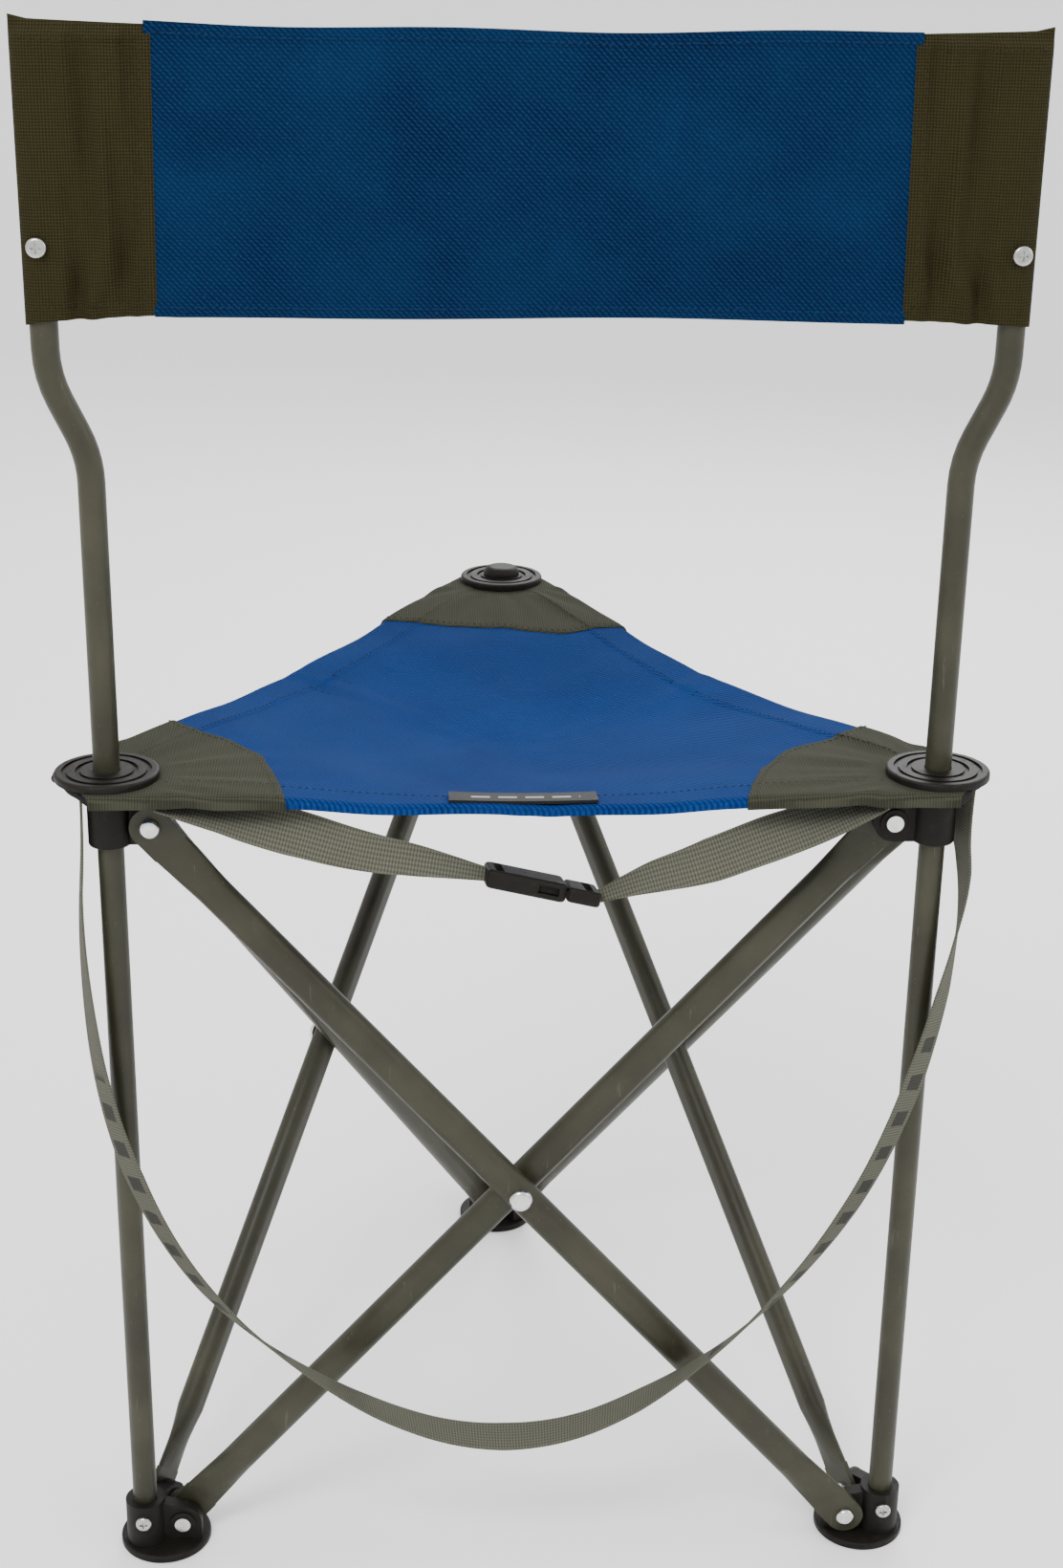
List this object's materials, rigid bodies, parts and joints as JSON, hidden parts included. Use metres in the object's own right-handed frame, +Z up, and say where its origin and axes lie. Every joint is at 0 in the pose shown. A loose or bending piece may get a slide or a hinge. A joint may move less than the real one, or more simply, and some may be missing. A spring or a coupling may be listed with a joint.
{
  "type": "folding stool with backrest",
  "caption": "Folding camp stool: triangular sling seat on scissor struts between corner hubs and moulded feet, cloth backrest between two posts, carrying strap.",
  "frame": {"origin": "on the floor, below the middle of the seat triangle's depth and midway between the two back posts", "axes": "+Z up, +Y from the backrest to the front corner, +X to the right of a person facing the front corner"},
  "size_m": [0.4994, 0.4463, 0.866],
  "materials": {
    "tube": "satin powder coat",
    "rivet": "bright",
    "screw": "zinc",
    "washer": "matte",
    "webbing": "woven webbing",
    "blue_cloth": "diagonal twill",
    "grey_cloth": "coated weave",
    "olive_cloth": "coated weave",
    "label": "woven label",
    "plastic": "moulded, slightly worn"
  },
  "bodies": {
    "back_left_leg": {"back_left_foot": "plastic", "back_left_foot_screw": "screw", "back_left_post": "tube", "back_left_post_plug": "plastic", "back_left_backrest_screw": "screw", "back_left_backrest_sleeve": "olive_cloth"},
    "back_inner": {"back_inner_strut": "tube", "back_inner_foot_rivet": "rivet", "back_inner_hub_rivet": "rivet"},
    "back_outer": {"back_outer_strut": "tube", "back_outer_foot_rivet": "rivet", "back_outer_hub_rivet": "rivet", "back_cross_rivet": "rivet", "back_cross_washer": "washer"},
    "back_right_leg": {"back_right_foot": "plastic", "back_right_foot_screw": "screw", "back_right_post": "tube", "back_right_post_plug": "plastic", "back_right_backrest_screw": "screw", "back_right_backrest_sleeve": "olive_cloth"},
    "back_left_slider": {"back_left_hub": "plastic", "back_left_cap": "plastic", "back_left_seat_patch": "grey_cloth", "shoulder_strap": "webbing", "left_strap": "webbing"},
    "back_right_slider": {"back_right_hub": "plastic", "back_right_cap": "plastic", "back_right_seat_patch": "grey_cloth"},
    "left_outer": {"left_outer_strut": "tube", "left_outer_foot_rivet": "rivet", "left_outer_hub_rivet": "rivet", "left_cross_rivet": "rivet", "left_cross_washer": "washer"},
    "left_inner": {"left_inner_strut": "tube", "left_inner_foot_rivet": "rivet", "left_inner_hub_rivet": "rivet"},
    "front_leg": {"front_foot": "plastic", "front_foot_screw": "screw", "front_foot_plug": "plastic"},
    "front_corner": {"front_hub": "plastic", "front_cap": "plastic", "front_cap_button": "plastic", "front_seat_patch": "grey_cloth"},
    "right_inner": {"right_inner_strut": "tube", "right_inner_foot_rivet": "rivet", "right_inner_hub_rivet": "rivet"},
    "right_outer": {"right_outer_strut": "tube", "right_outer_foot_rivet": "rivet", "right_outer_hub_rivet": "rivet", "right_cross_rivet": "rivet", "right_cross_washer": "washer"},
    "back_left_panel": {"back_left_backrest_panel": "blue_cloth"},
    "back_right_panel": {"back_right_backrest_panel": "blue_cloth"},
    "back_left_cloth": {"back_left_seat_cloth": "blue_cloth", "seat_label": "label"},
    "back_right_cloth": {"back_right_seat_cloth": "blue_cloth"},
    "front_cloth": {"front_seat_cloth": "blue_cloth"},
    "buckle_socket": {"buckle_socket": "plastic"},
    "buckle_plug": {"buckle_plug": "plastic", "right_strap": "webbing"}
  },
  "joints": [
    {"name": "fold", "type": "hinge", "parent": "back_left_leg", "child": "back_inner", "pos_m": [-0.198, -0.19053, 0.016], "axis": [0, -1, 0], "range_deg": [0, 38.3], "deforming": ["back_left_seat_cloth", "back_right_seat_cloth", "front_seat_cloth", "back_left_seat_patch", "back_right_seat_patch", "front_seat_patch", "seat_label", "back_left_backrest_panel", "back_right_backrest_panel", "back_left_backrest_sleeve", "back_right_backrest_sleeve", "shoulder_strap", "left_strap", "right_strap"]},
    {"name": "back_cross", "type": "hinge", "parent": "back_inner", "child": "back_outer", "pos_m": [0, -0.19053, 0.23925], "axis": [0, -1, 0], "range_deg": [-76.6, 0]},
    {"name": "back_right_foot_pin", "type": "hinge", "parent": "back_outer", "child": "back_right_leg", "pos_m": [0.198, -0.19053, 0.016], "axis": [0, -1, 0], "range_deg": [0, 38.3]},
    {"name": "back_right_hub_pin", "type": "hinge", "parent": "back_inner", "child": "back_right_slider", "pos_m": [0.198, -0.19053, 0.4625], "axis": [0, -1, 0], "range_deg": [-38.3, 0]},
    {"name": "back_left_hub_pin", "type": "hinge", "parent": "back_outer", "child": "back_left_slider", "pos_m": [-0.198, -0.19053, 0.4625], "axis": [0, -1, 0], "range_deg": [0, 38.3]},
    {"name": "left_foot_pin", "type": "hinge", "parent": "back_left_leg", "child": "left_outer", "pos_m": [-0.209, -0.17147, 0.016], "axis": [-0.866, 0.5, 0], "range_deg": [-38.3, 0]},
    {"name": "left_cross", "type": "hinge", "parent": "left_outer", "child": "left_inner", "pos_m": [-0.11, 0, 0.23925], "axis": [-0.866, 0.5, 0], "range_deg": [0, 76.6]},
    {"name": "front_foot_pin", "type": "hinge", "parent": "left_inner", "child": "front_leg", "pos_m": [-0.011, 0.17147, 0.016], "axis": [-0.866, 0.5, 0], "range_deg": [-38.3, 0]},
    {"name": "front_hub_pin", "type": "hinge", "parent": "left_outer", "child": "front_corner", "pos_m": [-0.011, 0.17147, 0.4625], "axis": [-0.866, 0.5, 0], "range_deg": [0, 38.3]},
    {"name": "right_foot_pin", "type": "hinge", "parent": "back_right_leg", "child": "right_inner", "pos_m": [0.209, -0.17147, 0.016], "axis": [0.866, 0.5, 0], "range_deg": [0, 38.3]},
    {"name": "right_cross", "type": "hinge", "parent": "right_inner", "child": "right_outer", "pos_m": [0.11, 0, 0.23925], "axis": [0.866, 0.5, 0], "range_deg": [-76.6, 0]},
    {"name": "back_left_panel_fold", "type": "hinge", "parent": "back_left_leg", "child": "back_left_panel", "pos_m": [-0.185, -0.19053, 0.797], "axis": [0, 0, -1], "range_deg": [0, 88.76]},
    {"name": "back_right_panel_fold", "type": "hinge", "parent": "back_right_leg", "child": "back_right_panel", "pos_m": [0.185, -0.19053, 0.797], "axis": [0, 0, 1], "range_deg": [0, 88.76]},
    {"name": "back_left_cloth_lift", "type": "hinge", "parent": "back_left_slider", "child": "back_left_cloth", "pos_m": [-0.19532, -0.17628, 0.4854], "axis": [0.5, -0.866, 0], "range_deg": [0, 86]},
    {"name": "back_right_cloth_lift", "type": "hinge", "parent": "back_right_slider", "child": "back_right_cloth", "pos_m": [0.19532, -0.17628, 0.4854], "axis": [0.5, 0.866, 0], "range_deg": [0, 86]},
    {"name": "front_cloth_lift", "type": "hinge", "parent": "front_corner", "child": "front_cloth", "pos_m": [0, 0.16203, 0.4854], "axis": [-1, 0, 0], "range_deg": [0, 86]},
    {"name": "buckle_gather", "type": "slide", "parent": "back_left_slider", "child": "buckle_socket", "axis": [-0.9994, -0.0344, 0], "range_m": [0, 0.153]},
    {"name": "buckle_release", "type": "slide", "parent": "buckle_socket", "child": "buckle_plug", "axis": [0.9756, 0, -0.2195], "range_m": [0, 0.024]}
  ],
  "couplings": [
    {"joint": "back_cross", "follows": "fold", "ratio": -2},
    {"joint": "back_right_foot_pin", "follows": "fold", "ratio": 1},
    {"joint": "back_right_hub_pin", "follows": "fold", "ratio": -1},
    {"joint": "back_left_hub_pin", "follows": "fold", "ratio": 1},
    {"joint": "left_foot_pin", "follows": "fold", "ratio": -1},
    {"joint": "left_cross", "follows": "fold", "ratio": 2},
    {"joint": "front_foot_pin", "follows": "fold", "ratio": -1},
    {"joint": "front_hub_pin", "follows": "fold", "ratio": 1},
    {"joint": "right_foot_pin", "follows": "fold", "ratio": 1},
    {"joint": "right_cross", "follows": "fold", "ratio": -2},
    {"joint": "back_left_panel_fold", "follows": "fold", "ratio": 2.3175},
    {"joint": "back_right_panel_fold", "follows": "fold", "ratio": 2.3175},
    {"joint": "back_left_cloth_lift", "follows": "fold", "ratio": 2.2454},
    {"joint": "back_right_cloth_lift", "follows": "fold", "ratio": 2.2454},
    {"joint": "front_cloth_lift", "follows": "fold", "ratio": 2.2454},
    {"joint": "buckle_gather", "follows": "fold", "m_per_rad": 0.22888}
  ]
}
